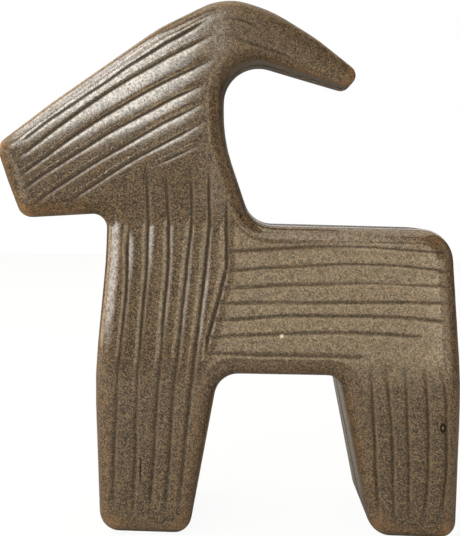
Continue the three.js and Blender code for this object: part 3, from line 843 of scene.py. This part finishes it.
def creaseAlong(tree):  # 1 along the middle of a carved line, 0 beside it
    share = calculate(tree, "DIVIDE", readMask(tree, "besideGroove"), stonewareGlaze["creaseWidth"])
    share = calculate(tree, "DIVIDE", 1.0, calculate(tree, "ADD", times(tree, share, share), 1.0))
    return times(tree, times(tree, share, share), readMask(tree, "grooveDepth"))


def litSideHighlightAlong(tree):  # 1 on the lit side of a carved line, where a highlight is painted
    begins, full, stillFull, gone = stonewareGlaze["litSideHighlightSpan"]
    beside = readMask(tree, "besideGroove")
    share = times(tree, rangeOf(tree, beside, begins, full), rangeOf(tree, beside, gone, stillFull))
    return times(tree, share, readMask(tree, "grooveDepth"))


def addMarks(tree, place, colour):  # a pale speck, a pinhole painted dark with a painted glint, a short crack, and where they break the coat
    onLeft = rangeOf(tree, partOf(tree, place, "Y"), -stonewareGlaze["markFade"] * mm, 0, 1.0, 0.0)
    shares = {}
    for name, mark in glazeMarks.items():
        across, up = mark["middle"]
        halfWidth, halfHeight = mark["half"]
        apart = calculateVector(tree, "SUBTRACT", place, (across * mm, 0, up * mm))[0]
        flat = calculateVector(tree, "MULTIPLY", apart, (1 / mm, 0, 1 / mm / (halfHeight / halfWidth)))[0]
        away = calculateVector(tree, "LENGTH", flat)["Value"]
        core, rim = [halfWidth * end for end in mark["span"]]
        shares[name] = times(tree, rangeOf(tree, away, core, rim, mark["share"], 0.0), onLeft)
        colour = mixColours(tree, shares[name], colour, fromSrgb(*mark["colour"]))
    return colour, calculate(tree, "MAXIMUM", shares["pinhole"], shares["crack"])


def glazeStoneware():
    look = stonewareGlaze
    material, tree, shader, place, grains = startGlaze("speckledStonewareGlaze", look)
    crease = creaseAlong(tree)
    patches = rangeOf(tree, addNoise(tree, place, look["patchScale"], 3.0), *look["edgePatches"])
    full, gone = [height * mm for height in look["soleSpan"]]
    colour = grains["Colour"]
    for shade, share in (
        ("edge", times(tree, rangeOf(tree, readMask(tree, "edgeMask"), *look["edgeSpan"]), patches)),
        # painted highlight on the lit side of each line
        ("rim", times(tree, litSideHighlightAlong(tree), look["litSideHighlightShare"])),
        # painted shade along the middle of each carved line
        ("paintedGrooveShade", times(tree, crease, look["paintedGrooveShadeShare"])),
        ("sole", rangeOf(tree, partOf(tree, place, "Z"), full, gone, look["soleShare"], 0.0, smooth=True)),
    ):
        colour = mixColours(tree, share, colour, fromSrgb(*look[shade]))
    colour, broken = addMarks(tree, place, colour)
    feed(tree, shader.inputs["Base Color"], colour)
    shader.inputs["Specular IOR Level"].default_value = look["specular"]
    relief = times(tree, grains["Relief"], look["relief"])
    bump = addBump(tree, calculate(tree, "SUBTRACT", relief, times(tree, crease, look["creaseDepth"])), mm)
    feed(tree, shader.inputs["Normal"], bump)
    feed(tree, shader.inputs["Coat Normal"], bump)
    thin, satin = readMask(tree, "thinGlaze"), readMask(tree, "satinGlaze")
    coat = rangeOf(tree, crease, *look["dryCrease"], 1.0, look["creaseGloss"], smooth=True)
    coat = times(tree, coat, rangeOf(tree, thin, 0.0, 1.0, 1.0, look["thinGloss"], smooth=True))
    for where, left in ((broken, "brokenGloss"), (satin, "satinGloss")):
        coat = times(tree, coat, rangeOf(tree, where, 0.0, 1.0, 1.0, look[left]))
    feed(tree, shader.inputs["Coat Weight"], times(tree, grains["Gloss Share"], coat))
    shader.inputs["Coat IOR"].default_value = look["coatIor"]
    dullness = rangeOf(tree, satin, 0.0, 1.0, look["coatRoughness"], look["satinRoughness"])
    feed(tree, shader.inputs["Coat Roughness"], dullness)
    return material


lutingClay = {
    "base": (96, 84, 68),
    "cloud": (80, 68, 52),
    "lightGrain": (140, 126, 104),
    "darkGrain": (48, 38, 28),
    "rustGrain": (124, 92, 62),
    "grains": 0.6,
    "roughness": 0.45,
    "relief": 0.05,  # mm
}


def glazeLuting():
    material, tree, shader, _, grains = startGlaze("lutingSeamGlaze", lutingClay)
    feed(tree, shader.inputs["Base Color"], grains["Colour"])
    feed(tree, shader.inputs["Normal"], addBump(tree, grains["Relief"], lutingClay["relief"] * mm))
    return material


pressedFelt = {
    "base": (74, 66, 58),
    "fibre": (112, 102, 90),
    "fibreScale": 1800.0,  # per m
    "fibreSpan": (0.4, 0.65),
    "tangle": 2.5,
    "patchScale": 300.0,
    "patches": (0.4, 0.7, 0.0, 0.35),
    "roughness": 0.95,
    "sheen": 0.3,
    "relief": 0.12,        # mm
}


def feltMaterial():
    look = pressedFelt
    material, tree, shader = newMaterial("pressedFelt")
    place, base = objectPlace(tree), fromSrgb(*look["base"])
    fibres = addNoise(tree, place, look["fibreScale"], 5.0, Distortion=look["tangle"])
    colour = mixColours(tree, rangeOf(tree, fibres, *look["fibreSpan"]), base, fromSrgb(*look["fibre"]))
    patches = rangeOf(tree, addNoise(tree, place, look["patchScale"], 2.0), *look["patches"])
    feed(tree, shader.inputs["Base Color"], mixColours(tree, patches, colour, base))
    feed(tree, shader.inputs["Normal"], addBump(tree, fibres, look["relief"] * mm))
    shader.inputs["Roughness"].default_value = look["roughness"]
    shader.inputs["Sheen Weight"].default_value = look["sheen"]
    return material


def dress(piece, material):
    piece.data.materials.clear()
    piece.data.materials.append(material)


stoneware = glazeStoneware()
dress(leftHalf, stoneware)
dress(rightHalf, stoneware)
dress(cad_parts["luting_ring"], glazeLuting())
felt = feltMaterial()
for pad in pads:
    dress(pad, felt)
print("glaze, luting clay and felt are on")


# Floor, room and lamps

# In m. A lamp: name, place, what it is aimed at, width, height, brightness and colour of its face, and the
# shares of the face over which that fades in from the left, right, bottom and top
studio = {
    "floorSize": 6,
    "floor": (235, 235, 233),
    "room": 0.07,             # brightness of the light from all round
    "backdropAway": 1.6,
    "floorWhite": 0.94,       # share of plain white that the camera sees
    "backdropWhite": 1.0,
    "floorMirrored": 0.3,     # how bright floor and backdrop are in reflections
    "backdropMirrored": 0.14,
    "matt": 0.9,
    "specular": 0.1,
    "lamps": [
        ("headSoftbox", (-0.31, -1.11, 0.59), (0, 0, 0.14), 0.6, 0.52, 9.0, (1, 0.98, 0.91), (0, 0.36, 0.32, 0.2)),
        ("browSoftbox", (-0.47, -0.795, 0.894), (0, 0, 0.14), 0.5, 0.56, 4.3, (1, 0.98, 0.91), (0, 0.25, 0.4, 0.1)),
        ("leftSoftbox", (-0.92, -0.25, 1.08), (0, 0, 0.14), 1.2, 0.6, 5.5, (1, 0.99, 0.96), (0, 0, 0.2, 0)),
        ("leftStrip", (-0.76, -0.76, 0.17), (0, 0, 0.17), 1.26, 0.24, 5.4, (1, 0.97, 0.92), (0, 0.4, 0.25, 0)),
        ("chestStrip", (-0.115, -1.03, 0.145), (-0.115, 0, 0.145), 0.13, 0.18, 0.45, (1, 0.82, 0.56), (0, 0, 0, 0)),
        ("bodyStrip", (0.12, -1.03, 0.1145), (0.12, 0, 0.1145), 0.4, 0.241, 2.2, (1, 0.82, 0.56), (0.1, 0, 0.08, 0)),
        ("backStrip", (0.24, -1.03, 0.35), (0.24, 0, 0.35), 0.24, 0.23, 2.3, (1, 0.82, 0.56), (0.3, 0, 0, 0.4)),
        ("rightStrip", (0.76, -0.76, 0.1145), (0, 0, 0.1145), 1.26, 0.241, 1.6, (1, 0.84, 0.62), (0, 0.8, 0, 0)),
        ("upperFill", (0.145, -1.02, 0.395), (0, 0, 0.1), 0.26, 0.31, 1.0, (1, 0.86, 0.66), (0.6, 0.3, 0, 0)),
        ("topSoftbox", (0.09, -0.71, 0.8), (0, 0, 0.1), 0.42, 0.75, 2.1, (1, 0.86, 0.66), (0, 0.3, 0, 0)),
        ("overhead", (0.05, 0.15, 1.1), (0, 0, 0.1), 1.0, 1.2, 1.6, (1, 0.88, 0.7), (0, 0, 0, 0)),
        ("leftRim", (-1.05, 0.09, 0.3), (0, 0, 0.1), 0.75, 0.6, 3.0, (1, 0.8, 0.56), (0, 0, 0, 0)),
        ("backRim", (-0.8, 0.75, 0.7), (0, 0, 0.1), 1.0, 1.0, 1.4, (1, 0.78, 0.54), (0, 0, 0, 0)),
        ("backSoftbox", (0.4, 1.25, 0.8), (0, 0, 0.1), 1.1, 0.8, 1.3, (1, 0.97, 0.93), (0, 0, 0, 0)),
        ("rightFill", (1.0, -0.2, 0.5), (0, 0, 0.09), 1.0, 0.9, 0.6, (1, 0.97, 0.92), (0.5, 0.5, 0.4, 0.3)),
    ],
}


def softenEdges(lamp, softness):  # the brightness of its face fades in from the sides, as behind a diffuser
    lamp.data.use_nodes = True
    tree = lamp.data.node_tree
    face = addNode(tree, "ShaderNodeSeparateXYZ", {0: addNode(tree, "ShaderNodeNewGeometry").outputs["Parametric"]})
    left, right, bottom, top = softness
    strength = 1.0
    for across, near, far in ((face.outputs["X"], left, right), (face.outputs["Y"], bottom, top)):
        if near:
            strength = times(tree, rangeOf(tree, across, 0, near, smooth=True), strength)
        if far:
            strength = times(tree, rangeOf(tree, across, 1, 1 - far, smooth=True), strength)
    if any(softness):
        feed(tree, tree.nodes["Emission"].inputs["Strength"], strength)


def addLamp(name, place, aim, width, height, brightness, colour, softness):
    pickNothing()
    bpy.ops.object.light_add(type="AREA", location=place)
    lamp = bpy.context.object
    lamp.name = name
    lamp.data.shape = "RECTANGLE"
    lamp.data.size = width
    lamp.data.size_y = height
    lamp.data.energy = brightness * math.pi * width * height
    lamp.data.color = colour
    lamp.rotation_euler = (Vector(aim) - Vector(place)).to_track_quat("-Z", "Y").to_euler()
    softenEdges(lamp, softness)


def addSurface(name, place, turn, share, mirrored):
    pickNothing()
    bpy.ops.mesh.primitive_plane_add(size=studio["floorSize"], location=place, rotation=turn)
    surface = bpy.context.object
    surface.name = name
    material, tree, shader = newMaterial(name)
    light = addNode(tree, "ShaderNodeLightPath")
    pale = fromSrgb(*studio["floor"])
    dim = (*[shade * mirrored for shade in pale[:3]], 1)
    feed(tree, shader.inputs["Base Color"], mixColours(tree, light.outputs["Is Glossy Ray"], pale, dim))
    shader.inputs["Roughness"].default_value = studio["matt"]
    shader.inputs["Specular IOR Level"].default_value = studio["specular"]
    white = addNode(tree, "ShaderNodeEmission", {"Color": (1, 1, 1, 1), "Strength": 1.0})
    seen = times(tree, light.outputs["Is Camera Ray"], share)
    both = addNode(tree, "ShaderNodeMixShader", {0: seen, 1: shader.outputs[0], 2: white.outputs[0]})
    feed(tree, tree.nodes["Material Output"].inputs["Surface"], both.outputs[0])
    dress(surface, material)


def lightRoom():
    world = bpy.data.worlds.new("paleRoom")
    bpy.context.scene.world = world
    world.use_nodes = True
    tree = world.node_tree
    background = tree.nodes["Background"].inputs
    light = addNode(tree, "ShaderNodeLightPath")
    seen = calculate(tree, "MAXIMUM", light.outputs["Is Camera Ray"], light.outputs["Is Transmission Ray"])
    background["Color"].default_value = (1, 1, 1, 1)
    feed(tree, background["Strength"], rangeOf(tree, seen, 0.0, 1.0, studio["room"], 1.0))


addSurface("studioFloor", (0, 0, 0), (0, 0, 0), studio["floorWhite"], studio["floorMirrored"])
addSurface("studioBackdrop", (0, studio["backdropAway"], 0), (math.radians(90), 0, 0), studio["backdropWhite"],
           studio["backdropMirrored"])
lightRoom()
for lamp in studio["lamps"]:
    addLamp(*lamp)
bpy.context.scene.view_settings.view_transform = "Standard"
print("floor, room and lamps are set")
